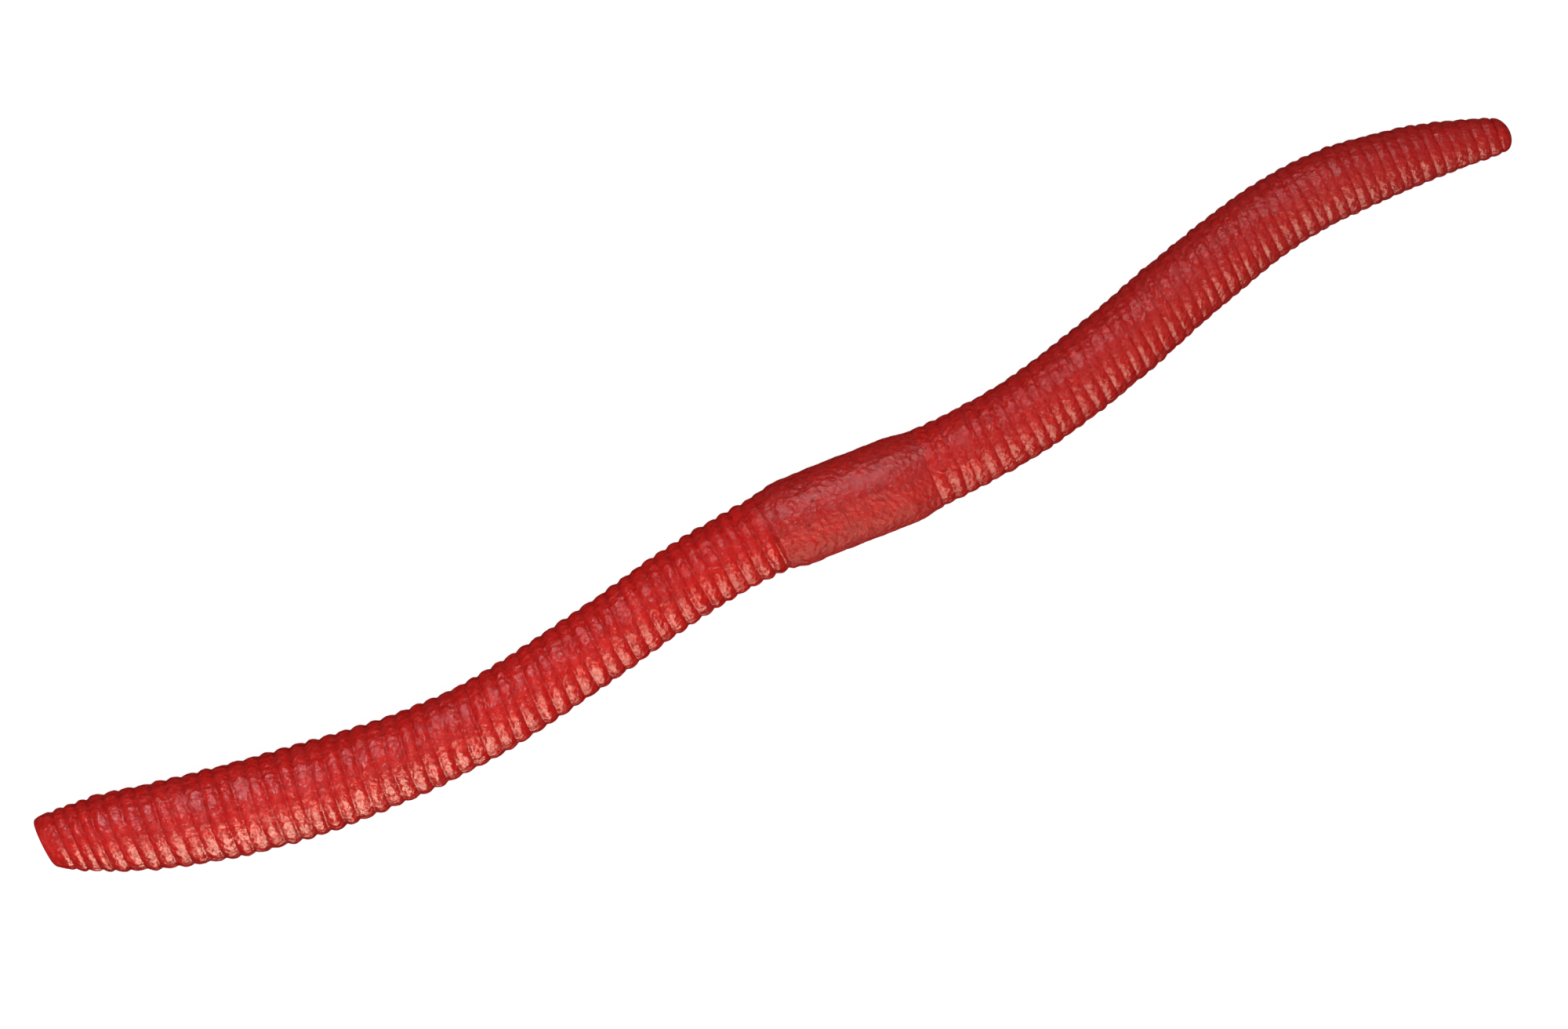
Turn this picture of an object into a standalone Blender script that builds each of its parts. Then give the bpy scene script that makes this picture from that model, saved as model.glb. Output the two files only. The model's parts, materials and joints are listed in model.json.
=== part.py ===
"""Soft plastic worm: a ringed fishing lure cast in one piece, built as a chain of ring groups.

Metres, +Z up. The worm lies on its belly, head at -X and tail at +X, and waves from side to side. All its
rings stand square to the line from nose to tail, so every ring lies in a plane across X. The root is the
smooth saddle near the middle. From there a chain of segments runs to the head and another to the tail. Each
segment carries a ball at its tailward end, which sits in a cup in the next segment, so that the chain bends
where the soft body does: sideways at one joint, and up or down at the next.
"""

import math

import bmesh
import bpy
from mathutils import Matrix, Vector

MM = 0.001

# Overall sizes. Stations are places along X, measured from the nose face.
LENGTH = 75.1 * MM  # nose face to tail tip in a straight line, which is 76 mm along the wavy body
THICKNESS = 1.0  # multiplies every diameter below

# Where things lie along the body
COLLAR_LENGTH = 0.9 * MM  # smooth collar in front of the first ring
FRONT_LENGTH = 36.3 * MM  # nose face to the saddle's front edge
SADDLE_LENGTH = 7.8 * MM  # the smooth band
TIP_LENGTH = 0.6 * MM  # smooth rounded tip behind the last ring
FRONT_RINGS = 51
REAR_RINGS = 53

# Diameters over the ring crests in mm, at shares of each region's length
FRONT_DIAMETERS = (
    (0.00, 2.3), (0.02, 2.81), (0.05, 3.34), (0.10, 3.87), (0.16, 4.16), (0.25, 4.4),
    (0.34, 4.35), (0.43, 4.1), (0.53, 3.86), (0.70, 3.71), (0.90, 3.69), (1.00, 3.76),
)
REAR_DIAMETERS = (
    (0.00, 3.82), (0.10, 3.79), (0.35, 3.79), (0.50, 3.69), (0.63, 3.54), (0.76, 3.32),
    (0.88, 2.64), (0.94, 2.13), (0.98, 1.68), (1.00, 1.2),
)
SADDLE_DIAMETER = 4.17 * MM
RING_RELIEF = 0.12 * MM  # crest to groove
FRONT_SHOULDER = 1.1 * MM  # length over which the band rises out of the front rings
REAR_SHOULDER = 2.0 * MM  # length over which it falls to the rear rings

# How far the body's axis waves sideways in mm, at shares of the length
WAVE = (
    (0.0, 1.76), (0.098, -0.45), (0.198, -1.75), (0.274, -1.97), (0.35, -1.28), (0.45, -0.21),
    (0.55, -0.35), (0.627, -0.62), (0.703, 0.22), (0.787, 1.85), (0.862, 2.9), (0.934, 2.55), (1.0, 1.45),
)

# Ring pitches in mm, before they are scaled to fill their length exactly
NOSE_PITCH = 0.56
FRONT_PITCH = 0.73
MIDDLE_PITCH = 0.66
REAR_PITCH = 0.64
TAIL_PITCH = 0.56
WIDENING_RINGS = (1, 5)  # the front pitch grows over these rings
TIGHTENING_RINGS = (34, 50)  # and shrinks over these
REAR_TIGHTENING_RINGS = (0, 26)  # the rear pitch shrinks over these
CREST_SHARES = (0.3, 0.7)  # where on a ring its flat crest starts and ends

# Joints: each is a ball in a cup, with a wedge of clearance outside it
RINGS_PER_SEGMENT = 5
JOINTS_PER_SIDE = 10
HEAD_JOINT_RING = 3  # the joint nearest the head replaces this ring
REAR_JOINT_RING = 2  # and the joint just behind the saddle replaces this one
BEND_LIMIT = math.radians(30)
CUP_SHARE = 0.80  # cup radius over the body radius at the joint
JOINT_GAP = 0.3 * MM  # between ball and cup
WEDGE_CLEARANCE = 0.1 * MM  # left between shoulders at full bend
CUP_FLOOR = 0.4 * MM  # least material between a cup and the next ball's neck
CUP_RIM = 0.2 * MM  # least wall round a cup

# Where the axis stops following the diameter, as the blunt nose and the thin tip would tip it over
LEVEL_NOSE = 0.12  # share of the front length
LEVEL_TAIL = 2.5  # tip lengths

# Fineness of the solids
SIDES = 18
CUP_ARCS = 3
BALL_ARCS = 3
TIP_ARCS = 3
BAND_RUNS = 8
COLLAR_RUNS = 3
COLLAR_SHARE = 0.8  # the smooth rows stop here, short of the first groove
BAND_MARGIN = 0.3 * MM  # and the band's rows this far inside its edges
CUT_MARGIN = 0.06 * MM  # a ring's row closer than this to a segment's end is left out
SLOPE_REACH = 0.2 * MM  # half the length over which the wave's slope is read
SHARP_ANGLE = math.radians(50)
MERGE = 1e-7

RINGED_COLOUR = (0.48, 0.012, 0.012, 1.0)
BAND_COLOUR = (0.43, 0.014, 0.015, 1.0)
RINGED_ROUGHNESS = 0.28
BAND_ROUGHNESS = 0.36


def clear_scene():
    for obj in list(bpy.data.objects):
        bpy.data.objects.remove(obj, do_unlink=True)


def smooth(t):
    t = min(max(t, 0.0), 1.0)
    return t * t * (3 - 2 * t)


def smooth_between(ends, at):
    return smooth((at - ends[0]) / (ends[1] - ends[0]))


def read_curve(table, at):
    """The value at a place on a smooth curve through (place, value) pairs."""
    slopes = []
    for i in range(len(table)):
        (a, va), (b, vb) = table[max(i - 1, 0)], table[min(i + 1, len(table) - 1)]
        slopes.append((vb - va) / (b - a))
    at = min(max(at, table[0][0]), table[-1][0])
    spans = zip(table, table[1:], slopes, slopes[1:])
    for (a, va), (b, vb), slope_a, slope_b in spans:
        if at <= b:
            break
    width = b - a
    t = (at - a) / width
    near, far = smooth(1 - t), smooth(t)
    return near * va + far * vb + width * t * (1 - t) * (slope_a * (1 - t) - slope_b * t)


# Stations along the body


def saddle_start():
    return FRONT_LENGTH


def saddle_end():
    return FRONT_LENGTH + SADDLE_LENGTH


def tip_start():
    return LENGTH - TIP_LENGTH


def ring_edges(start, end, pitches):
    """The grooves between rings: their spacing follows the pitches, and fills the length exactly."""
    scale = (end - start) / sum(pitches)
    edges = [start]
    for pitch in pitches:
        edges.append(edges[-1] + pitch * scale)
    return edges


def front_edges():
    """Rings are tight at the nose, widest along the front half, and a little tighter at the saddle."""
    pitches = []
    for ring in range(FRONT_RINGS):
        past_nose = smooth_between(WIDENING_RINGS, ring)
        near_saddle = smooth_between(TIGHTENING_RINGS, ring)
        widened = (FRONT_PITCH - NOSE_PITCH) * past_nose
        tightened = (FRONT_PITCH - MIDDLE_PITCH) * near_saddle
        pitches.append(NOSE_PITCH + widened - tightened)
    return ring_edges(COLLAR_LENGTH, saddle_start(), pitches)


def rear_edges():
    """Rings tighten over the first half of the rear, and then keep their pitch to the tail."""
    pitches = []
    for ring in range(REAR_RINGS):
        past_saddle = smooth_between(REAR_TIGHTENING_RINGS, ring)
        pitches.append(REAR_PITCH - (REAR_PITCH - TAIL_PITCH) * past_saddle)
    return ring_edges(saddle_end(), tip_start(), pitches)


def joint_stations():
    """The front joints and the rear ones, each at the crest of one ring in a group of five."""
    found = []
    for edges, first in ((front_edges(), HEAD_JOINT_RING), (rear_edges(), REAR_JOINT_RING)):
        rings = [first + RINGS_PER_SEGMENT * i for i in range(JOINTS_PER_SIDE)]
        found.append([(edges[ring] + edges[ring + 1]) / 2 for ring in rings])
    return found


# The body's thickness, and the line that its axis follows


def crest_radius(x):
    """The body's radius over its ring crests, or over the band."""
    if x < saddle_start():
        ringed = read_curve(FRONT_DIAMETERS, x / FRONT_LENGTH)
    else:
        ringed = read_curve(REAR_DIAMETERS, (x - saddle_end()) / (LENGTH - saddle_end()))
    ringed *= MM / 2
    rise = smooth((x - saddle_start()) / FRONT_SHOULDER)
    fall = smooth((saddle_end() - x) / REAR_SHOULDER)
    return THICKNESS * (ringed + (SADDLE_DIAMETER / 2 - ringed) * min(rise, fall))


def groove_radius(x):
    return crest_radius(x) - THICKNESS * RING_RELIEF


def shoulder_radius(x):
    """The segments' ends are cut between crest and groove."""
    return crest_radius(x) - THICKNESS * RING_RELIEF / 2


def axis_height(x):
    """One radius over the belly, so that it lies flat. At the nose and the tip the axis runs on level."""
    level_before, level_after = LEVEL_NOSE * FRONT_LENGTH, LENGTH - LEVEL_TAIL * TIP_LENGTH
    return crest_radius(min(max(x, level_before), level_after)) * math.cos(math.pi / SIDES)


def axis_point(x):
    return Vector((x, read_curve(WAVE, x / LENGTH) * MM, axis_height(x)))


def wave_stretch(x):
    """Rings square to X are cut on the slant where the body waves, so they are this much wider sideways."""
    ahead, behind = axis_point(x + SLOPE_REACH), axis_point(x - SLOPE_REACH)
    return math.hypot(1.0, (ahead.y - behind.y) / (ahead.x - behind.x))


# The turned outline of one segment, as (station, radius, station of the centre that it is turned about)


def setback(joint):
    """How far a shoulder stands back from its joint, so that the wedge just closes at full bend."""
    return crest_radius(joint) * math.tan(BEND_LIMIT / 2) + WEDGE_CLEARANCE


def cup_radius(joint):
    """As wide as the body allows, and no deeper than the segment that holds the cup."""
    behind = [station for station in sum(joint_stations(), []) if station > joint + MERGE]
    depth = behind[0] - setback(behind[0]) - joint if behind else LENGTH - joint
    radius = crest_radius(joint)
    return min(CUP_SHARE * radius, radius - CUP_RIM, depth - CUP_FLOOR)


def arc(joint, radius, turns):
    return [(joint + radius * math.cos(turn), radius * math.sin(turn), joint) for turn in turns]


def cup(joint):
    """A hollow centred on the joint, from the axis out to the rim."""
    radius = cup_radius(joint)
    widest = math.acos(setback(joint) / radius)
    return arc(joint, radius, [widest * i / CUP_ARCS for i in range(CUP_ARCS + 1)])


def ball(joint):
    """A ball centred on the joint, from its neck to the axis."""
    radius = cup_radius(joint) - JOINT_GAP
    neck = math.acos(-setback(joint) / radius)
    return arc(joint, radius, [neck * (1 - i / BALL_ARCS) for i in range(BALL_ARCS + 1)])


def rings(start, end, edges):
    """Flat-topped crests and narrow grooves between two stations."""
    outline = []
    for left, right in zip(edges, edges[1:]):
        crest = [left + share * (right - left) for share in CREST_SHARES]
        outline.append((left, groove_radius(left)))
        outline += [(x, crest_radius(x)) for x in crest]
    outline.append((edges[-1], groove_radius(edges[-1])))
    return [(x, radius, x) for x, radius in outline if start + CUT_MARGIN < x < end - CUT_MARGIN]


def smooth_run(start, end, runs):
    stations = [start + (end - start) * i / runs for i in range(runs + 1)]
    return [(x, crest_radius(x), x) for x in stations]


def outside(start, end):
    """The outside of the body between two stations, with its rings and its smooth band."""
    outline = rings(start, end, front_edges()) + rings(start, end, rear_edges())
    if start < saddle_start() < end:
        outline += smooth_run(saddle_start() + BAND_MARGIN, saddle_end() - BAND_MARGIN, BAND_RUNS)
    return sorted(outline)


def shoulder(x):
    return [(x, shoulder_radius(x), x)]


def head_outline(joint):
    end = joint - setback(joint)
    collar = smooth_run(0.0, COLLAR_SHARE * COLLAR_LENGTH, COLLAR_RUNS)
    return [(0.0, 0.0, 0.0), *collar, *rings(0.0, end, front_edges()), *shoulder(end), *ball(joint)]


def middle_outline(front_joint, rear_joint):
    start = front_joint + setback(front_joint)
    end = rear_joint - setback(rear_joint)
    return [*cup(front_joint), *shoulder(start), *outside(start, end), *shoulder(end), *ball(rear_joint)]


def tail_outline(joint):
    start, last_groove = joint + setback(joint), groove_radius(tip_start())
    tip = []
    for i in range(1, TIP_ARCS):
        turn = math.pi / 2 * i / TIP_ARCS
        x = tip_start() + TIP_LENGTH * math.sin(turn)
        tip.append((x, last_groove * math.cos(turn), x))
    return [*cup(joint), *shoulder(start), *outside(start, LENGTH), *tip, (LENGTH, 0.0, LENGTH)]


# Building


def turned_mesh(name, outline, origin):
    """The outline spun round X, moved out to the waving axis, and stored relative to the origin."""
    shape = bmesh.new()
    centre = shape.verts.layers.float.new("centre")
    verts = []
    for x, radius, turned_about in outline:
        vert = shape.verts.new((x, 0.0, radius))
        vert[centre] = turned_about
        verts.append(vert)
    edges = [shape.edges.new(pair) for pair in zip(verts, verts[1:])]
    half_side = Matrix.Rotation(math.pi / SIDES, 3, "X")  # puts a flat, not a corner, on the belly
    bmesh.ops.rotate(shape, cent=(0, 0, 0), matrix=half_side, verts=shape.verts)
    spun = {"cent": (0, 0, 0), "axis": (1, 0, 0), "angle": 2 * math.pi, "steps": SIDES, "use_merge": True}
    bmesh.ops.spin(shape, geom=verts + edges, **spun)
    bmesh.ops.remove_doubles(shape, verts=shape.verts, dist=MERGE)
    for vert in shape.verts:
        x, across, up = vert.co
        middle = axis_point(vert[centre])
        on_the_outside = abs(x - vert[centre]) < MERGE
        stretch = wave_stretch(x) if on_the_outside else 1.0
        vert.co = Vector((x, middle.y + stretch * across, middle.z + up)) - origin
    bmesh.ops.recalc_face_normals(shape, faces=shape.faces)
    mesh = bpy.data.meshes.new(name)
    shape.to_mesh(mesh)
    shape.free()
    mesh.shade_smooth()
    mesh.set_sharp_from_angle(angle=SHARP_ANGLE)
    return mesh


def soft_vinyl(name, colour, roughness):
    material = bpy.data.materials.new(name)
    material.use_nodes = True
    surface = material.node_tree.nodes["Principled BSDF"]
    surface.inputs["Base Color"].default_value = colour
    surface.inputs["Roughness"].default_value = roughness
    surface.inputs["Metallic"].default_value = 0.0
    return material


def add_segment(name, outline, pivot, parent, parent_pivot, material):
    """One named segment, with its origin on the joint that it turns about."""
    mesh = turned_mesh(name, outline, pivot)
    mesh.materials.append(material)
    obj = bpy.data.objects.new(name, mesh)
    bpy.context.collection.objects.link(obj)
    obj.parent = parent
    obj.location = pivot - parent_pivot
    return obj


def add_chain(names, stations, outlines, parent, parent_pivot, material):
    """Segments one after another, each held by the one before it."""
    for name, station, outline in zip(names, stations, outlines):
        pivot = axis_point(station)
        parent = add_segment(name, outline, pivot, parent, parent_pivot, material)
        parent_pivot = pivot


def build_worm():
    front, rear = joint_stations()
    worm = bpy.data.objects.new("worm", None)
    bpy.context.collection.objects.link(worm)
    ringed = soft_vinyl("ringed_vinyl", RINGED_COLOUR, RINGED_ROUGHNESS)
    banded = soft_vinyl("saddle_vinyl", BAND_COLOUR, BAND_ROUGHNESS)

    centre = axis_point((saddle_start() + saddle_end()) / 2)
    saddle = add_segment("saddle", middle_outline(front[-1], rear[0]), centre, worm, Vector(), banded)

    names = [f"fore_segment_{i}" for i in range(JOINTS_PER_SIDE - 1, 0, -1)] + ["head_segment"]
    outlines = [middle_outline(a, b) for a, b in zip(front, front[1:])]
    outlines = [*reversed(outlines), head_outline(front[0])]
    add_chain(names, reversed(front), outlines, saddle, centre, ringed)

    names = [f"rear_segment_{i}" for i in range(1, JOINTS_PER_SIDE)] + ["tail_segment"]
    outlines = [middle_outline(a, b) for a, b in zip(rear, rear[1:])] + [tail_outline(rear[-1])]
    add_chain(names, rear, outlines, saddle, centre, ringed)
    centre_on_belly(worm)


def centre_on_belly(worm):
    """Moves the whole worm so that the frame's origin is under the middle of its box."""
    bpy.context.view_layer.update()
    points = []
    for obj in bpy.data.objects:
        if obj.type == "MESH":
            points += [obj.matrix_world @ vert.co for vert in obj.data.vertices]
    low = Vector([min(p[i] for p in points) for i in range(3)])
    high = Vector([max(p[i] for p in points) for i in range(3)])
    worm.location = -Vector(((low.x + high.x) / 2, (low.y + high.y) / 2, low.z))


clear_scene()
build_worm()
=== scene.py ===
# %% [markdown]
# # A soft plastic worm
# The object is a fishing worm cast in one piece of soft, glossy red vinyl. A hundred fine rings run round it,
# with a short collar at the blunt nose, a smooth band near the middle and a small rounded tip at the tail.
# The packed model is a chain of ring groups that turn on joints. Here each joint gets its own stretch of skin,
# with the joint in the middle of its rings.

# %% Load the packed model
import json
import math

import bmesh
import bpy
import numpy as np
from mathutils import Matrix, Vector


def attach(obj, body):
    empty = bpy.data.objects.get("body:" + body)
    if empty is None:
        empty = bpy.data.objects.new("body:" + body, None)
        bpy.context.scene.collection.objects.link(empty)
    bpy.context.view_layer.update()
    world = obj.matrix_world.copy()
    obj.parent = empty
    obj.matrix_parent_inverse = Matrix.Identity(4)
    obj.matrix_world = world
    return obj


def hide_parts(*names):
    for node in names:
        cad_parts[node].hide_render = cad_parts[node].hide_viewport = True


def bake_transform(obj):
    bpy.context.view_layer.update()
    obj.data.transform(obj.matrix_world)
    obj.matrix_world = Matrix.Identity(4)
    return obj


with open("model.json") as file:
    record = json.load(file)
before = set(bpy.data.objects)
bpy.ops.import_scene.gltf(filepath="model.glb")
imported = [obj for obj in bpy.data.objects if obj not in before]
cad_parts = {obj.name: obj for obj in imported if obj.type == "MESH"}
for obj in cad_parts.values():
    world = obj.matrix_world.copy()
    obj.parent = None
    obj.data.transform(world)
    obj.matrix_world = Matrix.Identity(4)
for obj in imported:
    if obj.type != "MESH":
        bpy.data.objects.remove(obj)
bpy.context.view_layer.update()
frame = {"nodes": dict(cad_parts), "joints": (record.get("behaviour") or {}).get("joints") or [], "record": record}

MM = 0.001

# %% [markdown]
# ## The line that the body follows
# The worm waves from side to side. Its middle line could be drawn by hand, but the packed model already holds
# it: the nose, the twenty joints and the tail tip all lie on it. A smooth curve through those points keeps the
# skin exactly where the joints are, so nothing slides when the worm bends.

# %% Middle line
joints = sorted(frame["joints"], key=lambda joint: joint["pos_m"][0])
pivots = np.array([joint["pos_m"] for joint in joints])
nose = np.array(next(m["pos_m"] for m in frame["record"]["mounts"] if m["name"] == "nose_face"))
tail_corners = np.array([v.co for v in frame["nodes"]["tail_segment"].data.vertices])
tip = tail_corners[tail_corners[:, 0].argmax()]


def curve_through(rows):
    """A smooth function of the first column, through every row."""
    rows = np.array(rows, float)
    places, values = rows[:, 0], rows[:, 1:]
    slopes = np.gradient(values, places, axis=0)

    def at(x):
        x = np.clip(x, places[0], places[-1])
        i = np.clip(np.searchsorted(places, x) - 1, 0, len(places) - 2)
        width = (places[i + 1] - places[i])[:, None]
        t = (x - places[i])[:, None] / width
        near = (2 * t**3 - 3 * t**2 + 1) * values[i] + (t**3 - 2 * t**2 + t) * width * slopes[i]
        far = (3 * t**2 - 2 * t**3) * values[i + 1] + (t**3 - t**2) * width * slopes[i + 1]
        return near + far

    return at


middle_line = curve_through([nose, *pivots, tip])
print("middle line through", len(pivots) + 2, "points, nose to tip", round((tip[0] - nose[0]) / MM, 2), "mm")

# %% [markdown]
# ## Where the rings are
# The grooves between rings are set out from the joints: each joint sits in the middle of a ring, and five
# rings fill the space from one joint to the next. A few more rings reach from the outermost joints to the
# collar, the smooth band and the tip.

# %% Grooves
FRONT_JOINTS = 10
RINGS_PER_GROUP = 5
HALF_GROUP = RINGS_PER_GROUP // 2  # whole rings on either side of a joint's own ring
RINGS_AT_NOSE, RINGS_TO_BAND = 3, 2  # beyond the rings of the first and last front joints
RINGS_FROM_BAND, RINGS_TO_TIP = 2, 5  # beyond the rings of the first and last rear joints
COLLAR_LENGTH = 0.9 * MM
front_pivots, rear_pivots = pivots[:FRONT_JOINTS, 0], pivots[FRONT_JOINTS:, 0]


def grooves_round(group_pivots, rings_after):
    """Grooves half a ring either side of each ring's middle, and on past the last joint."""
    pitch = np.diff(group_pivots) / RINGS_PER_GROUP
    middles = (group_pivots[:-1, None] + pitch[:, None] * np.arange(RINGS_PER_GROUP)).ravel()
    middles = np.append(middles, group_pivots[-1] + pitch[-1] * np.arange(rings_after + 1))
    between = (middles[:-1] + middles[1:]) / 2
    return np.concatenate([[middles[0] - pitch[0] / 2], between, [middles[-1] + pitch[-1] / 2]])


collar_end = nose[0] + COLLAR_LENGTH
front_grooves = grooves_round(front_pivots, RINGS_TO_BAND)
at_nose = np.linspace(collar_end, front_grooves[0], RINGS_AT_NOSE + 1)[:-1]
front_grooves = np.concatenate([at_nose, front_grooves])
rear_grooves = grooves_round(rear_pivots, RINGS_TO_TIP)
rear_pitch = rear_grooves[1] - rear_grooves[0]
from_band = rear_grooves[0] - rear_pitch * np.arange(RINGS_FROM_BAND, 0, -1)
rear_grooves = np.concatenate([from_band, rear_grooves])
band_start, band_end, tip_start = front_grooves[-1], rear_grooves[0], rear_grooves[-1]
print(len(front_grooves) - 1, "front rings,", len(rear_grooves) - 1, "rear rings, band",
      round((band_end - band_start) / MM, 2), "mm, tip", round((tip[0] - tip_start) / MM, 2), "mm")

# %% [markdown]
# ## How thick the body is
# The worm swells behind the head, keeps one thickness along the middle and tapers to the tail. A short table of
# diameters over the ring crests, read as a smooth curve, is easier to change than a sculpted shape.

# %% Thickness
# Each row is a share of the length, and the diameter there in millimetres
FRONT_DIAMETERS = (
    (0.00, 2.3), (0.02, 2.81), (0.05, 3.34), (0.10, 3.87), (0.16, 4.16), (0.25, 4.4),
    (0.34, 4.35), (0.43, 4.1), (0.53, 3.86), (0.70, 3.71), (0.90, 3.69), (1.00, 3.76),
)
REAR_DIAMETERS = (
    (0.00, 3.82), (0.10, 3.79), (0.35, 3.79), (0.50, 3.69), (0.63, 3.54), (0.76, 3.32),
    (0.88, 2.64), (0.94, 2.13), (0.98, 1.68), (1.00, 1.2),
)
BAND_DIAMETER = 4.17
FRONT_RELIEF, REAR_RELIEF = 0.10 * MM, 0.060 * MM  # from crest down to groove
BAND_RISE, BAND_FALL = 1.2 * MM, 1.5 * MM  # how far each end of the band takes to reach its full thickness
front_diameter, rear_diameter = curve_through(FRONT_DIAMETERS), curve_through(REAR_DIAMETERS)


def smooth(t):
    """A soft step from 0 to 1."""
    t = np.clip(t, 0, 1)
    return t * t * (3 - 2 * t)


def crest_radius(x):
    front = front_diameter((x - nose[0]) / (band_start - nose[0]))[:, 0]
    rear = rear_diameter((x - band_end) / (tip[0] - band_end))[:, 0]
    ringed = np.where(x < band_start, front, rear)
    on_band = np.minimum(smooth((x - band_start) / BAND_RISE), smooth((band_end - x) / BAND_FALL))
    return (ringed + (BAND_DIAMETER - ringed) * on_band) * MM / 2


def relief(x):
    return FRONT_RELIEF + (REAR_RELIEF - FRONT_RELIEF) * smooth((x - band_start) / (band_end - band_start))


print("thickest", round(2 * crest_radius(np.linspace(nose[0], tip[0], 400)).max() / MM, 2), "mm")

# %% [markdown]
# ## The shape of one ring
# Each ring is a rounded crest that rolls down into a soft groove on either side, as vinyl leaves a turned
# mould. The rows of points crowd towards the grooves, where the surface turns fastest.

# %% Ring profile
RING_ROWS = np.array([0, 0.035, 0.09, 0.17, 0.27, 0.385, 0.5, 0.615, 0.73, 0.83, 0.91, 0.965])
EDGE_ROUND = 0.25 * MM  # how far the smooth pieces curve in to their grooves
CREST_WIDTH, CREST_ROLL = 2.4, 1.45  # higher makes a crest broader, and the bottom of its groove softer
REAR_FIRST_RING = 100  # rear rings are numbered from here, clear of the front ones
NO_RING = 0.5  # the share across that smooth lengths are given. A crest row exactly on it counts as smooth too


def crest_shape(u):
    """0 in the groove and 1 on the crest."""
    return np.clip(1 - np.abs(2 * u - 1) ** CREST_WIDTH, 0, 1) ** CREST_ROLL


def ring_place(x):
    """The ring that a place lies on, how far across it, and the height of its surface from 0 to 1."""
    ring, across, height = np.zeros(len(x)), np.full(len(x), NO_RING), np.ones(len(x))
    for grooves, first in ((front_grooves, 0), (rear_grooves, REAR_FIRST_RING)):
        i = np.clip(np.searchsorted(grooves, x, "right") - 1, 0, len(grooves) - 2)
        u = (x - grooves[i]) / (grooves[i + 1] - grooves[i])
        inside = (u >= 0) & (u <= 1)
        ring[inside], across[inside] = (i + first)[inside], u[inside]
        height[inside] = crest_shape(u[inside])
    for groove in (collar_end, band_start, band_end, tip_start):
        away = np.abs(x - groove) / EDGE_ROUND
        smooth_side = (height == 1) & (across == NO_RING) & (away < 1)
        height[smooth_side] = crest_shape(away[smooth_side] / 2)
    return ring, across, height


def rows_on_rings(grooves, first, last):
    """Places along the body for the rings from first up to last, and the last groove."""
    widths = np.diff(grooves)[first:last, None]
    return np.append((grooves[first:last, None] + widths * RING_ROWS).ravel(), grooves[last])


print("rows on five rings:", len(rows_on_rings(front_grooves, 0, RINGS_PER_GROUP)))

# %% [markdown]
# ## Nothing is quite regular
# Soft vinyl copies every tool mark of its mould and pulls a little as it cools. Rings lean and wander, some
# stand higher, and the skin has faint lumps that break up its highlights. Sums of seeded waves give that,
# and they run on from one piece to the next because they only depend on the place.

# %% Chances of the casting
RING_KINDS = 170  # enough for every ring number
WANDER_SIZES = np.array([0.035, 0.028, 0.016, 0.012])  # in mm, for waves that go one to four times round
LEAST_WANDER = 0.3  # a share of those sizes
HEIGHT_RANGE = (0.68, 1.1)  # of whole rings, as shares of the relief
SWELL_RANGE = (0.05, 0.16)  # of the height's waves round a ring
LUMP_WAVES = 36
LUMP_LENGTHS = (0.35, 1.1)  # in mm
USUAL_WAY = 1.7  # about how long a three-way random step is
FULL_TURN = 2 * np.pi
chance = np.random.default_rng(7)
wander_size = chance.uniform(LEAST_WANDER, 1.0, (RING_KINDS, len(WANDER_SIZES))) * WANDER_SIZES * MM
wander_turn = chance.uniform(0, FULL_TURN, (RING_KINDS, len(WANDER_SIZES)))
ring_height = chance.uniform(*HEIGHT_RANGE, RING_KINDS)
swell_size = chance.uniform(*SWELL_RANGE, (RING_KINDS, 3))
swell_turn = chance.uniform(0, FULL_TURN, (RING_KINDS, 3))
lump_ways = chance.normal(size=(LUMP_WAVES, 3))
lump_ways = lump_ways * (FULL_TURN / chance.uniform(*LUMP_LENGTHS, LUMP_WAVES))[:, None] / USUAL_WAY
lump_turn = chance.uniform(0, FULL_TURN, LUMP_WAVES)
print("ring heights from", round(ring_height.min(), 2), "to", round(ring_height.max(), 2), "of the relief")

# %% Irregular casting
# How far the rings turn from square to the nose-tail line, in degrees, at shares of the length
RING_LEAN = (
    (0, 0), (0.02, -2.5), (0.06, -6), (0.11, -7), (0.21, -8.5), (0.26, -7.3), (0.31, -3), (0.36, 0), (0.46, 2),
    (0.56, 0), (0.61, -1), (0.66, 2.5), (0.71, 4), (0.81, 2.5), (0.86, 3), (0.91, -1), (0.96, -5), (1, -5),
)
ring_lean = curve_through(RING_LEAN)


def waves(sizes, turns, angle):
    """Sums a few waves round the body for each point."""
    counts = np.arange(1, sizes.shape[1] + 1)
    return (sizes * np.sin(counts * angle[:, None] + turns)).sum(1)


def groove_wander(ring, across, angle):
    """How far a place moves along the body: each groove has its own wandering line."""
    low = ring.astype(int)
    near = waves(wander_size[low], wander_turn[low], angle)
    far = waves(wander_size[low + 1], wander_turn[low + 1], angle)
    return near + (far - near) * across


def lumps(points):
    """Faint lumps of a third of a millimetre to a millimetre, from -1 to 1 or so."""
    total = np.zeros(len(points))
    for way, turn in zip(lump_ways, lump_turn):
        total += np.sin(points @ way / MM + turn)
    return total / math.sqrt(LUMP_WAVES)


print("irregular casting set out for", RING_KINDS, "rings")

# %% [markdown]
# ## How far out the surface is
# The skin is turned straight, like work on a lathe, so its finished surface is a distance out from the middle:
# the crest, less the groove, plus the lumps. Faint rings show through the front of the band, and on the +Y side
# the grooves at the band's edges almost close up.

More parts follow.
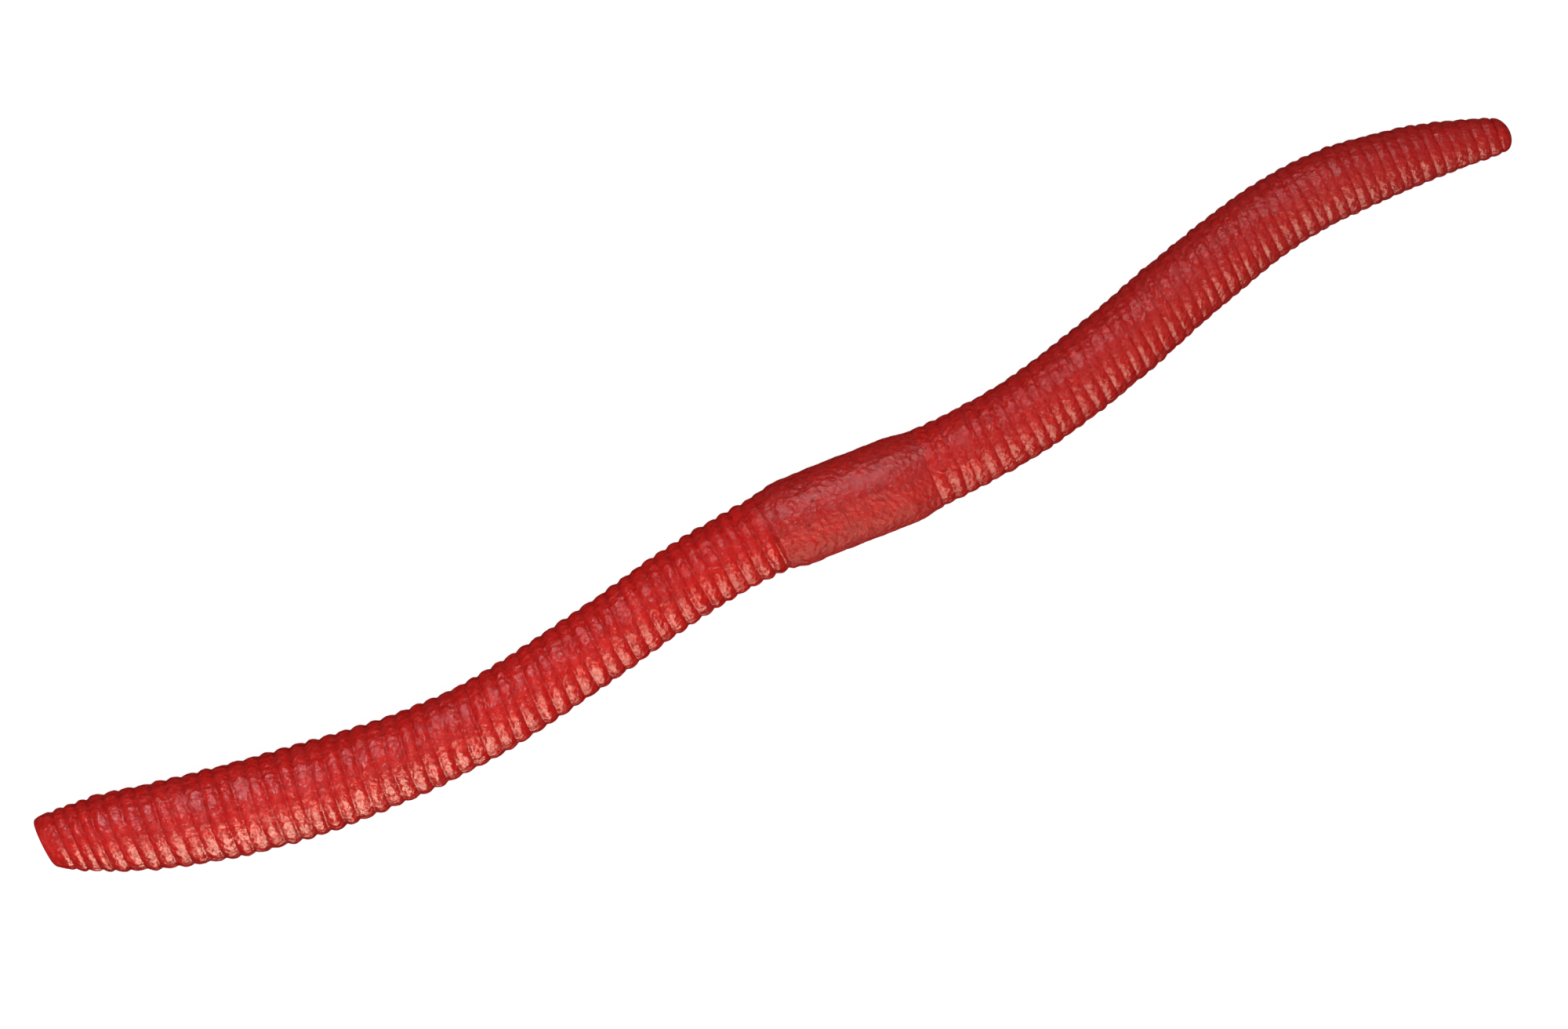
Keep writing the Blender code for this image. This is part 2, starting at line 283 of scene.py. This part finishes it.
# %% Surface of the straight casting
LUMP_HEIGHT = 0.014 * MM
LUMPS_IN_GROOVES = 0.35  # what is left of the lumps at the bottom of a groove
GHOST_HEIGHT, GHOST_LENGTH, GHOST_PITCH = 0.016 * MM, 3.6 * MM, 0.66 * MM  # faint rings on the band
EDGE_FADE, EDGE_FADE_LENGTH = 0.8, 0.7 * MM  # how much of the edge grooves fades on the +Y side, and how near
FADE_START, FADE_WIDTH = 0.25, 0.7  # the fade starts just short of the top, in shares of the radius
LEAST_RADIUS = 1e-9  # keeps the middle line from dividing by nothing


def surface_radius(straight, radius, angle, ring, height, on_rings):
    """The finished surface's distance from the middle, for points on the straight casting."""
    x, across_body = straight[:, 0], straight[:, 1]
    low = ring.astype(int)
    lift = np.where(on_rings, ring_height[low] + waves(swell_size[low], swell_turn[low], angle), 1.0)
    edge_distance = np.minimum(np.abs(x - band_start), np.abs(x - band_end))
    far_side = smooth((across_body / np.maximum(radius, LEAST_RADIUS) + FADE_START) / FADE_WIDTH)
    flush = 1 - EDGE_FADE * far_side * smooth(1 - edge_distance / EDGE_FADE_LENGTH)
    surface = crest_radius(x) - relief(x) * flush * (1 - height * lift)
    surface += LUMP_HEIGHT * lumps(straight) * (LUMPS_IN_GROOVES + (1 - LUMPS_IN_GROOVES) * height)
    on_band = (x > band_start) & (x < band_end)
    fade = smooth(1 - (x - band_start) / GHOST_LENGTH) * on_band
    surface += GHOST_HEIGHT * fade * np.sin(2 * np.pi * (x - band_start) / GHOST_PITCH)
    tip_share = np.clip((x - tip_start) / (tip[0] - tip_start), 0, 1)
    dome = crest_radius(np.full(1, tip_start)) * np.sqrt(1 - tip_share**2)
    return np.where(tip_share > 0, dome, surface)


print("band edges fade within", round(EDGE_FADE_LENGTH / MM, 1), "mm, faint rings within",
      round(GHOST_LENGTH / MM, 1), "mm")

# %% [markdown]
# ## From a straight casting to the waving body
# Every point of the straight skin is then moved: out or in for its ring, along for the lean and wander, and
# across onto the middle line. The belly is pressed flat where it lies on the floor.

# %% Shaping
HEADING_REACH = 0.3 * MM
ON_SURFACE = 0.999  # points this far out or more are on the surface, and the others are in an end cap


def body_heading(x):
    """The angle of the middle line, seen from above. A ring set askew to it is cut longer across the body."""
    ahead, behind = middle_line(x + HEADING_REACH), middle_line(x - HEADING_REACH)
    return np.arctan((ahead - behind)[:, 0] / (2 * HEADING_REACH))


def shape_points(straight):
    """Moves points from the straight casting onto the body. Returns them and their height from 0 to 1."""
    x, across_body, up = straight.T
    radius = np.hypot(across_body, up)
    angle = np.arctan2(across_body, up)
    ring, across, height = ring_place(x)
    on_rings = across != NO_RING
    surface = surface_radius(straight, radius, angle, ring, height, on_rings)
    crest = crest_radius(x)
    new_radius = np.where(radius > ON_SURFACE * crest, surface, radius)
    share = np.divide(new_radius, radius, out=np.zeros_like(radius), where=radius > 0)
    across_body, up = across_body * share, up * share
    lean = np.radians(ring_lean((x - nose[0]) / (tip[0] - nose[0]))[:, 0])
    across_body = across_body * np.cos(lean) / np.cos(body_heading(x) - lean)
    outward = np.clip(new_radius / crest, 0, 1)
    moved = x - np.tan(lean) * across_body + groove_wander(ring, across, angle) * outward * on_rings
    place = middle_line(x)
    z = np.maximum(place[:, 1] + up, 0.0)
    return np.stack([moved, place[:, 0] + across_body, z], 1), height


heading = body_heading(np.linspace(nose[0], tip[0], 200))
print("the body turns up to", round(math.degrees(np.abs(heading).max()), 1), "degrees off its line")

# %% [markdown]
# ## One stretch of skin
# A row of points from the body's middle out to the surface, along it and back in is spun a full turn, which
# gives a closed skin with a cap at each end. The caps meet those of the next stretch at the bottom of a groove,
# where the join can't be seen. The straight place of every point is kept as an attribute, so that the colour
# follows the skin, and so is the depth of its groove.

# %% Rows of the nose
NOSE_ROUND = 0.22 * MM
FACE_SHARES = (0, 0.3, 0.55, 0.75)
CORNER_ROWS, COLLAR_ROWS = 7, 12


def nose_rows():
    """The flat face from the middle out, the rounded corner and the collar."""
    edge = crest_radius(np.full(1, nose[0] + NOSE_ROUND))[0]
    face = [(nose[0], edge * share) for share in FACE_SHARES]
    turns = np.linspace(0, np.pi / 2, CORNER_ROWS)
    corner = [(nose[0] + NOSE_ROUND * (1 - math.cos(t)), edge - NOSE_ROUND * (1 - math.sin(t))) for t in turns]
    collar = np.linspace(nose[0] + NOSE_ROUND, collar_end, COLLAR_ROWS)[1:-1]
    return face + corner, collar


face, collar = nose_rows()
print("nose rows:", len(face), "on the face,", len(collar), "on the collar")

# %% Spinning a skin
SPIN_STEPS = 144
MERGE_WITHIN, NO_LENGTH = 1e-7, 1e-8
SHARP_ANGLE = math.radians(62)


def keep_on_points(mesh, name, kind, field, values):
    """Stores one value for each point of a mesh, for its material to read."""
    mesh.attributes.new(name, kind, "POINT").data.foreach_set(field, values.astype(np.float32).ravel())


def spin_skin(name, places, start=None, closed_tip=False):
    """A closed skin over these places along the body. start holds rows of (place, radius) in front of them."""
    shape = bmesh.new()
    radii = crest_radius(places)
    rows = list(start or [(places[0], 0.0)]) + list(zip(places, radii))
    rows.append((tip[0] if closed_tip else places[-1], 0.0))
    points = [shape.verts.new((x, 0.0, -radius)) for x, radius in rows]
    edges = [shape.edges.new(pair) for pair in zip(points, points[1:])]
    bmesh.ops.spin(shape, geom=points + edges, cent=(0, 0, 0), axis=(1, 0, 0), angle=2 * math.pi,
                   steps=SPIN_STEPS, use_merge=True)
    bmesh.ops.remove_doubles(shape, verts=shape.verts, dist=MERGE_WITHIN)
    bmesh.ops.dissolve_degenerate(shape, dist=NO_LENGTH, edges=shape.edges)
    bmesh.ops.recalc_face_normals(shape, faces=shape.faces)
    mesh = bpy.data.meshes.new(name)
    shape.to_mesh(mesh)
    shape.free()
    straight = np.array([v.co for v in mesh.vertices], float)
    shaped, height = shape_points(straight)
    mesh.vertices.foreach_set("co", shaped.astype(np.float32).ravel())
    keep_on_points(mesh, "casting", "FLOAT_VECTOR", "vector", straight / MM)
    keep_on_points(mesh, "groove", "FLOAT", "value", 1 - height)
    mesh.shade_smooth()
    mesh.set_sharp_from_angle(angle=SHARP_ANGLE)
    skin = bpy.data.objects.new(name, mesh)
    bpy.context.scene.collection.objects.link(skin)
    return skin


print("skins are spun in", SPIN_STEPS, "steps")

# %% [markdown]
# ## The stretches in front of the band
# Each stretch has one joint in the middle of its five rings.

# %% Front skins
skins = []


def bend_over(skin, node):
    """Bakes a skin's place into its mesh, hides the CAD node that it stands for, and keeps it with the skins."""
    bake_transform(skin)
    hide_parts(node)
    skins.append(skin)


for i, (joint, pivot) in enumerate(zip(joints[:FRONT_JOINTS], pivots[:FRONT_JOINTS])):
    first, at_head = RINGS_AT_NOSE - HALF_GROUP + RINGS_PER_GROUP * i, i == 0
    places = rows_on_rings(front_grooves, 0 if at_head else first, first + RINGS_PER_GROUP)
    if at_head:
        places = np.concatenate([collar, places])
    skin = spin_skin(f"front_skin_{i + 1}", places, start=face if at_head else None)
    bend_over(skin, joint["child"])
print(len(skins), "front skins,", sum(len(s.data.polygons) for s in skins), "faces")

# %% [markdown]
# ## The stretches behind the band
# These are made in the same way. The last one runs on over the small rounded tip.

# %% Rear skins
TIP_ROWS = 12
tip_rows = tip_start + (tip[0] - tip_start) * np.sin(np.linspace(0, np.pi / 2, TIP_ROWS)[1:-1])
for i, (joint, pivot) in enumerate(zip(joints[FRONT_JOINTS:], pivots[FRONT_JOINTS:])):
    first, at_tail = RINGS_FROM_BAND - HALF_GROUP + RINGS_PER_GROUP * i, i == len(rear_pivots) - 1
    places = rows_on_rings(rear_grooves, first, len(rear_grooves) - 1 if at_tail else first + RINGS_PER_GROUP)
    if at_tail:
        places = np.append(places, tip_rows)
    skin = spin_skin(f"rear_skin_{i + 1}", places, closed_tip=at_tail)
    bend_over(skin, joint["child"])
print(len(skins), "ringed skins,", sum(len(s.data.polygons) for s in skins), "faces")

# %% [markdown]
# ## The smooth band
# The band has no joint in it, so it rides on its own body. Its rows crowd towards both ends, where it curves
# in to the grooves.

# %% Band skin
BAND_ROWS, BAND_CROWDING = 110, 0.11
shares = np.linspace(0, 1, BAND_ROWS)
band_places = band_start + (band_end - band_start) * (shares - BAND_CROWDING * np.sin(2 * np.pi * shares))
band = spin_skin("band_skin", band_places)
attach(band, "saddle")
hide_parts("saddle")
print("band skin", len(band.data.polygons), "faces")

# %% [markdown]
# ## A short way to write nodes
# Material nodes can be added and linked one by one, which takes several lines each. A small class that adds a
# node and links its inputs in one call keeps a recipe to one line for each thing that it does.

# %% Node helpers
def named_group(name, inputs, outputs):
    group = bpy.data.node_groups.new(name, "ShaderNodeTree")
    for label, kind, value in inputs:
        socket = group.interface.new_socket(label, in_out="INPUT", socket_type=kind)
        if value is not None:
            socket.default_value = value
    for label, kind in outputs:
        group.interface.new_socket(label, in_out="OUTPUT", socket_type=kind)
    return group, group.nodes.new("NodeGroupInput"), group.nodes.new("NodeGroupOutput")


class Nodes:
    """Adds nodes to a tree and links their inputs in one call."""

    def __init__(self, tree):
        self.tree = tree

    def feed(self, socket, value):
        if isinstance(value, bpy.types.NodeSocket):
            self.tree.links.new(value, socket)
        else:
            socket.default_value = value

    def add(self, kind, inputs=(), **settings):
        node = self.tree.nodes.new(kind)
        for key, value in settings.items():
            setattr(node, key, value)
        for socket, value in dict(inputs).items():
            self.feed(node.inputs[socket], value)
        return node

    def math(self, operation, a, b):
        return self.add("ShaderNodeMath", {0: a, 1: b}, operation=operation).outputs[0]

    def span(self, value, low, high, to_low=0.0, to_high=1.0):
        inputs = {"Value": value, "From Min": low, "From Max": high, "To Min": to_low, "To Max": to_high}
        return self.add("ShaderNodeMapRange", inputs, interpolation_type="SMOOTHSTEP").outputs[0]

    def noise(self, place, scale, detail=2.0, roughness=0.5):
        inputs = {"Vector": place, "Scale": scale, "Detail": detail, "Roughness": roughness}
        return self.add("ShaderNodeTexNoise", inputs).outputs["Fac"]

    def mix(self, share, a, b):
        """Mixes two colours. A Mix node keeps its colour sockets at 6 and 7, and its colour output at 2."""
        return self.add("ShaderNodeMix", {0: share, 6: a, 7: b}, data_type="RGBA").outputs[2]


print("node helpers:", ", ".join(name for name in vars(Nodes) if not name.startswith("_")))

# %% [markdown]
# ## Soft vinyl
# The plastic is deep red and a little cloudy. Colourant gathers in faint clouds, mottling and brighter flecks,
# and tiny dark specks sit under the surface. The grooves get painted shade, darker towards a deep red. All of it
# is worked out in one node group from the straight place of each point, so the ringed body and the band share it.

# %% Marbled vinyl sockets
vinyl, vinyl_in, vinyl_out = named_group(
    "marbled_vinyl",
    [("Place", "NodeSocketVector", None), ("Groove", "NodeSocketFloat", 0.0),
     ("Fineness", "NodeSocketFloat", 1.0), ("Dull side", "NodeSocketFloat", 0.0),
     ("Red", "NodeSocketColor", (0.4, 0.01, 0.01, 1)),
     ("Cloudy red", "NodeSocketColor", (0.3, 0.01, 0.01, 1)),
     ("Groove red", "NodeSocketColor", (0.2, 0.005, 0.006, 1)),
     ("Tail red", "NodeSocketColor", (0.3, 0.01, 0.01, 1)),
     ("Fleck red", "NodeSocketColor", (0.7, 0.03, 0.02, 1))],
    [("Colour", "NodeSocketColor"), ("Roughness", "NodeSocketFloat"), ("Height", "NodeSocketFloat"),
     ("Gloss", "NodeSocketFloat")],
)
n = Nodes(vinyl)
place, groove, dull_side = (vinyl_in.outputs[label] for label in ("Place", "Groove", "Dull side"))
fineness = {0: place, 3: vinyl_in.outputs["Fineness"]}
fine_place = n.add("ShaderNodeVectorMath", fineness, operation="SCALE").outputs[0]
along, across = n.add("ShaderNodeSeparateXYZ", {0: place}).outputs[:2]
print("marbled_vinyl takes", len(vinyl_in.outputs) - 1, "inputs")

# %% Colour of the vinyl
CLOUD_SCALE, MOTTLE_SCALE, FLECK_SCALE, SPECK_SCALE = 0.8, 2.6, 4.4, 0.55  # features to a millimetre
CLOUD_SHARE, MOTTLE_SHARE, TAIL_CLOUDINESS = 0.35, 0.65, 0.55
MOST_FLECK, MOST_SPECK, GROOVE_SHADE = 0.45, 0.8, 0.3
TAIL_COLOUR_SPAN = (-14.0, 34.0)  # mm along the body, over which the colour turns to the tail's
SPECK_COLOUR = (0.05, 0.004, 0.004, 1)
clouds = n.span(n.noise(place, CLOUD_SCALE, 4.0, 0.6), 0.38, 0.66)
mottle = n.span(n.noise(place, MOTTLE_SCALE, 4.0, 0.7), 0.36, 0.64)
towards_tail = n.span(along, *TAIL_COLOUR_SPAN)
cloudiness = n.math("ADD", n.math("MULTIPLY", clouds, CLOUD_SHARE), n.math("MULTIPLY", mottle, MOTTLE_SHARE))
colour = n.mix(cloudiness, vinyl_in.outputs["Red"], vinyl_in.outputs["Cloudy red"])
tail_clouds = n.math("MULTIPLY", cloudiness, TAIL_CLOUDINESS)
tail_colour = n.mix(tail_clouds, vinyl_in.outputs["Tail red"], vinyl_in.outputs["Groove red"])
colour = n.mix(towards_tail, colour, tail_colour)
flecks = n.span(n.noise(place, FLECK_SCALE, 3.0, 0.75), 0.56, 0.70, 0.0, MOST_FLECK)
colour = n.mix(flecks, colour, vinyl_in.outputs["Fleck red"])
# Painted shade: the deeper a groove, the more its colour turns to the deep red
deep = n.span(groove, 0.35, 1.0)
colour = n.mix(n.math("MULTIPLY", deep, GROOVE_SHADE), colour, vinyl_in.outputs["Groove red"])
specks = n.add("ShaderNodeTexVoronoi", {"Vector": place, "Scale": SPECK_SCALE}).outputs["Distance"]
colour = n.mix(n.span(specks, 0.055, 0.02, 0.0, MOST_SPECK), colour, SPECK_COLOUR)
print("marbled_vinyl mixes", sum(node.type == "MIX" for node in vinyl.nodes), "colours")

# %% Grain and gloss of the vinyl
GRAIN_SCALE, CELL_SCALE, SHINE_SCALE = 5.2, 3.4, 3.1  # features to a millimetre
CELL_SHARE, GRAIN_SHARE = 0.55, 0.7
ROUGHNESS_RANGE = (0.17, 0.33)
TAIL_DULLNESS, SIDE_DULLNESS = 0.07, 0.22  # roughness that is added there
DULL_SPAN = (0.2, -1.2)  # mm across the body
GLOSS_SPAN, TAIL_GLOSS = (-34.0, 6.0), 0.55  # mm along the body, and what is left of the gloss
grain = n.noise(fine_place, GRAIN_SCALE, 3.0, 0.65)
cells = n.add("ShaderNodeTexVoronoi", {"Vector": fine_place, "Scale": CELL_SCALE, "Smoothness": 0.4},
              feature="SMOOTH_F1").outputs["Distance"]
height = n.math("ADD", n.math("MULTIPLY", cells, CELL_SHARE), n.math("MULTIPLY", grain, GRAIN_SHARE))
roughness = n.span(n.noise(place, SHINE_SCALE, 3.0), 0.32, 0.68, *ROUGHNESS_RANGE)
roughness = n.math("ADD", roughness, n.math("MULTIPLY", towards_tail, TAIL_DULLNESS))
dulled = n.math("MULTIPLY", n.span(across, *DULL_SPAN), dull_side)
roughness = n.math("ADD", roughness, n.math("MULTIPLY", dulled, SIDE_DULLNESS))
gloss = n.math("MULTIPLY", n.span(along, *GLOSS_SPAN, 1.0, TAIL_GLOSS), n.math("SUBTRACT", 1.0, dulled))
for label, value in (("Colour", colour), ("Roughness", roughness), ("Height", height), ("Gloss", gloss)):
    vinyl.links.new(value, vinyl_out.inputs[label])
print("node group marbled_vinyl:", len(vinyl.nodes), "nodes")

# %% [markdown]
# ## The two finishes
# Vinyl fresh from the mould is wet with oil, so a thin clear coat gives the sharp highlights and the vinyl
# under it the broad ones. The band is the same plastic against a smoother part of the mould, so its colour is
# flatter and its grain finer, and it is duller on its -Y side.

# %% Finishes
VINYL_IOR, OIL_IOR = 1.45, 1.4


def vinyl_finish(name, colours, fineness, dull_side, bump, specular, coat, coat_roughness):
    material = bpy.data.materials.new(name)
    material.use_nodes = True
    tree = material.node_tree
    surface = tree.nodes["Principled BSDF"]
    m = Nodes(tree)
    marbled = m.add("ShaderNodeGroup", node_tree=vinyl)
    m.feed(marbled.inputs["Place"], m.add("ShaderNodeAttribute", attribute_name="casting").outputs["Vector"])
    m.feed(marbled.inputs["Groove"], m.add("ShaderNodeAttribute", attribute_name="groove").outputs["Fac"])
    marbled.inputs["Fineness"].default_value = fineness
    marbled.inputs["Dull side"].default_value = dull_side
    for label, value in colours.items():
        marbled.inputs[label].default_value = (*value, 1)
    lifted = m.add("ShaderNodeBump", {"Height": marbled.outputs["Height"], "Strength": 1.0, "Distance": bump})
    m.feed(surface.inputs["Base Color"], marbled.outputs["Colour"])
    m.feed(surface.inputs["Roughness"], marbled.outputs["Roughness"])
    for socket, most in (("Coat Weight", coat), ("Specular IOR Level", specular)):
        m.feed(surface.inputs[socket], m.math("MULTIPLY", marbled.outputs["Gloss"], most))
    for socket in ("Normal", "Coat Normal"):
        m.feed(surface.inputs[socket], lifted.outputs[0])
    surface.inputs["IOR"].default_value = VINYL_IOR
    surface.inputs["Coat IOR"].default_value = OIL_IOR
    surface.inputs["Coat Roughness"].default_value = coat_roughness
    return material


print("finishes use an IOR of", VINYL_IOR, "under a film of", OIL_IOR)

# %% Skins get their finishes
RINGED = {"Red": (0.520, 0.0068, 0.0040), "Cloudy red": (0.365, 0.0050, 0.0044),
          "Groove red": (0.24, 0.0036, 0.0030), "Tail red": (0.315, 0.0072, 0.0052),
          "Fleck red": (0.74, 0.030, 0.018)}
BANDED = {"Red": (0.420, 0.0070, 0.0045), "Cloudy red": (0.280, 0.0065, 0.0065),
          "Groove red": (0.22, 0.0040, 0.0035), "Tail red": (0.350, 0.0070, 0.0050),
          "Fleck red": (0.52, 0.040, 0.022)}
ringed_finish = vinyl_finish("ringed_vinyl_finish", RINGED, fineness=1.0, dull_side=0.0, bump=0.090 * MM,
                             specular=0.42, coat=0.50, coat_roughness=0.08)
band_finish = vinyl_finish("band_vinyl_finish", BANDED, fineness=1.1, dull_side=0.70, bump=0.074 * MM,
                           specular=0.66, coat=0.16, coat_roughness=0.16)
for skin in skins:
    skin.data.materials.append(ringed_finish)
band.data.materials.append(band_finish)
print("finishes on", len(skins) + 1, "skins")

# %% [markdown]
# ## Floor and far wall
# The worm lies on a plain pale floor that glows a little, like a light table, so that its shadow stays faint.
# Gloss would mirror that glow from below, so the floor is left out of reflections. The world shows the camera
# a wall as pale as the floor, and gives the worm only a dim sky.

# %% Floor
FLOOR_HALF, FLOOR_DROP = 0.6, 0.02 * MM  # the drop keeps the belly from sharing the floor's surface
FLOOR_GREY, FLOOR_GLOW, FLOOR_ROUGHNESS = 0.20, 0.86, 0.9
floor_shape = bmesh.new()
bmesh.ops.create_grid(floor_shape, x_segments=1, y_segments=1, size=FLOOR_HALF)
bmesh.ops.translate(floor_shape, vec=(0, 0, -FLOOR_DROP), verts=floor_shape.verts)
floor_mesh = bpy.data.meshes.new("floor")
floor_shape.to_mesh(floor_mesh)
floor_shape.free()
pale_floor = bpy.data.materials.new("pale_floor")
pale_floor.use_nodes = True
floor_surface = pale_floor.node_tree.nodes["Principled BSDF"]
floor_surface.inputs["Base Color"].default_value = (FLOOR_GREY, FLOOR_GREY, FLOOR_GREY, 1)
floor_surface.inputs["Roughness"].default_value = FLOOR_ROUGHNESS
floor_surface.inputs["Specular IOR Level"].default_value = 0.0
floor_surface.inputs["Emission Color"].default_value = (1, 1, 1, 1)
floor_surface.inputs["Emission Strength"].default_value = FLOOR_GLOW
floor = bpy.data.objects.new("floor", floor_mesh)
floor.data.materials.append(pale_floor)
bpy.context.scene.collection.objects.link(floor)
floor.visible_glossy = floor.visible_shadow = False  # gloss mirrors the panels and a dark studio below them
print("floor", 2 * FLOOR_HALF, "m wide")

# %% Far wall
DARK_STUDIO, PALE_SKY = (0.02, 0.02, 0.02, 1), (0.93, 0.93, 0.95, 1)
SKY_STRENGTH, WALL_PALENESS = 0.13, 7.5
world = bpy.data.worlds.new("studio")
world.use_nodes = True
sky = Nodes(world.node_tree)
upwards = sky.add("ShaderNodeTexCoord").outputs["Generated"]
upwards = sky.add("ShaderNodeSeparateXYZ", {0: upwards}).outputs["Z"]
sky_colour = sky.mix(sky.span(upwards, -0.05, 0.15), DARK_STUDIO, PALE_SKY)
seen_by_camera = sky.add("ShaderNodeLightPath").outputs["Is Camera Ray"]
sky_colour = sky.mix(seen_by_camera, sky_colour, (WALL_PALENESS, WALL_PALENESS, WALL_PALENESS, 1))
background = world.node_tree.nodes["Background"]
sky.feed(background.inputs["Color"], sky_colour)
background.inputs["Strength"].default_value = SKY_STRENGTH
bpy.context.scene.world = world
print("world strength", SKY_STRENGTH)

# %% [markdown]
# ## Lights
# A very broad panel hangs over the worm and gives even light. Gloss needs something to mirror, so two more
# panels are there for reflections only: a small cool one high on the +Y side draws a thin streak on every
# ring, and a long warm one low on the -Y side gives the broad highlights of the lower half. Keeping the even
# light and the reflections apart means that each can be set without spoiling the other.

# %% Panels
def soft_light(name, tilt, size, power, colour, distance=0.36, along=0.0, mirrored=True):
    """A panel aimed at the worm, tilted from overhead: positive tilts stand on the worm's +Y side."""
    lamp = bpy.data.lights.new(name, "AREA")
    lamp.shape = "RECTANGLE"
    lamp.size, lamp.size_y = size
    lamp.energy = power
    lamp.color = colour
    light = bpy.data.objects.new(name, lamp)
    bpy.context.scene.collection.objects.link(light)
    turn = math.radians(tilt)
    light.location = (along, distance * math.sin(turn), distance * math.cos(turn))
    light.rotation_euler = (-turn, 0, 0)
    light.visible_glossy, light.visible_diffuse = mirrored, not mirrored


soft_light("even_panel", tilt=-7, size=(1.6, 1.4), power=11.2, colour=(1.0, 0.985, 0.97), distance=0.5,
           mirrored=False)
soft_light("cool_streak_panel", tilt=41, size=(0.06, 0.17), power=0.78, colour=(1.0, 0.90, 0.94))
soft_light("warm_low_panel", tilt=-74, size=(0.12, 0.62), power=3.9, colour=(1.0, 0.78, 0.60), along=-0.10)

# %% [markdown]
# ## Camera
# The camera looks straight down with a long lens, which keeps both ends of the worm the same size. It is
# turned so that the worm lies aslant, with its head low on the left.

# %% Camera
LINE_ANGLE = math.radians(26.1)  # how far the nose-tail line is turned in the camera's view
VIEW_WIDTH = 72.16 * MM
VIEW_RIGHT, VIEW_UP = 0.26, -1.25  # mm from halfway along the worm to the middle of the view
LENS, SENSOR_WIDTH = 150, 36
FOCUS_HEIGHT = 2 * MM
camera_data = bpy.data.cameras.new("camera")
camera_data.lens, camera_data.sensor_width = LENS, SENSOR_WIDTH
camera = bpy.data.objects.new("camera", camera_data)
bpy.context.scene.collection.objects.link(camera)
view_right = np.array([math.cos(LINE_ANGLE), -math.sin(LINE_ANGLE)])
view_up = np.array([math.sin(LINE_ANGLE), math.cos(LINE_ANGLE)])
halfway = (nose[:2] + tip[:2]) / 2
aim = halfway + (VIEW_RIGHT * view_right + VIEW_UP * view_up) * MM
camera.location = (*aim, FOCUS_HEIGHT + VIEW_WIDTH / SENSOR_WIDTH * LENS)
camera.rotation_euler = (0, 0, -LINE_ANGLE)
camera_data.clip_start, camera_data.clip_end = 0.01, 5
bpy.context.scene.camera = camera
bpy.context.scene.view_settings.view_transform = "Standard"
print("camera", round(camera.location.z / MM), "mm up")

# %% [markdown]
# ## Finish
